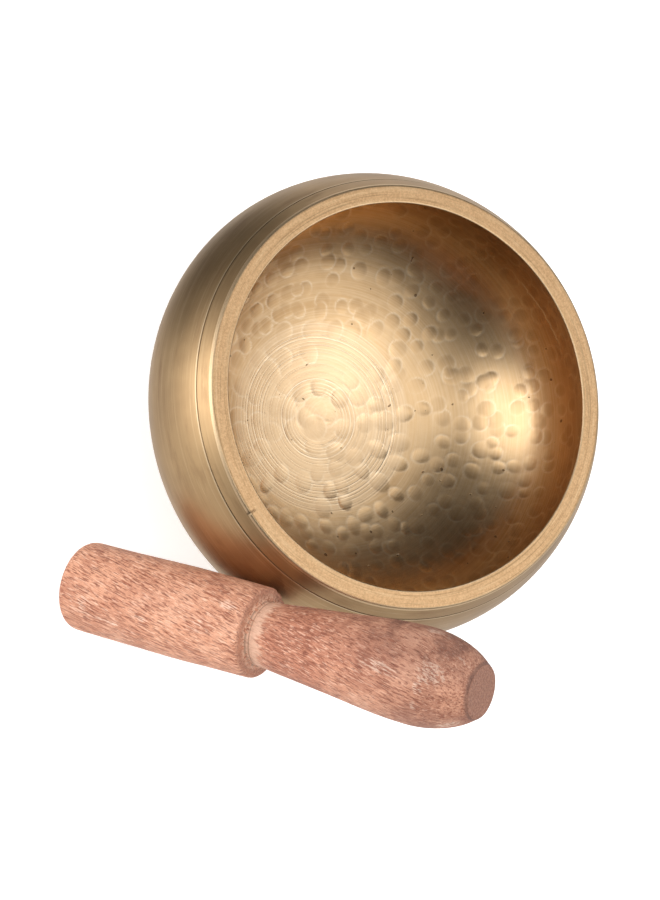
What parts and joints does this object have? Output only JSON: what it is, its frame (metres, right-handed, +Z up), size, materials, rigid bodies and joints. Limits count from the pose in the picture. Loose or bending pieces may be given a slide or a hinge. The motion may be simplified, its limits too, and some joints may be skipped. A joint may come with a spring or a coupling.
{
  "type": "singing bowl",
  "caption": "Hammered brass singing bowl standing on its flat foot, with a turned wooden mallet leaning on its belly.",
  "frame": {"origin": "centre of the bowl's flat foot, on the surface it stands on", "axes": "+Z up along the bowl's axis towards its mouth; the mallet stands in front, on the -Y side, and leans towards +X +Y"},
  "size_m": [0.1331, 0.142, 0.0957],
  "materials": {
    "brass": "satin, hammered inside, turned outside",
    "wood": "red-brown stain, worn, open pores"
  },
  "bodies": {
    "bowl": {"bowl": "brass"},
    "mallet": {"mallet": "wood"}
  },
  "joints": [
    {"name": "mallet_draw", "type": "slide", "parent": "bowl", "child": "mallet", "axis": [0.4312, 0.474, 0.7677], "range_m": [0, 0.15]}
  ]
}
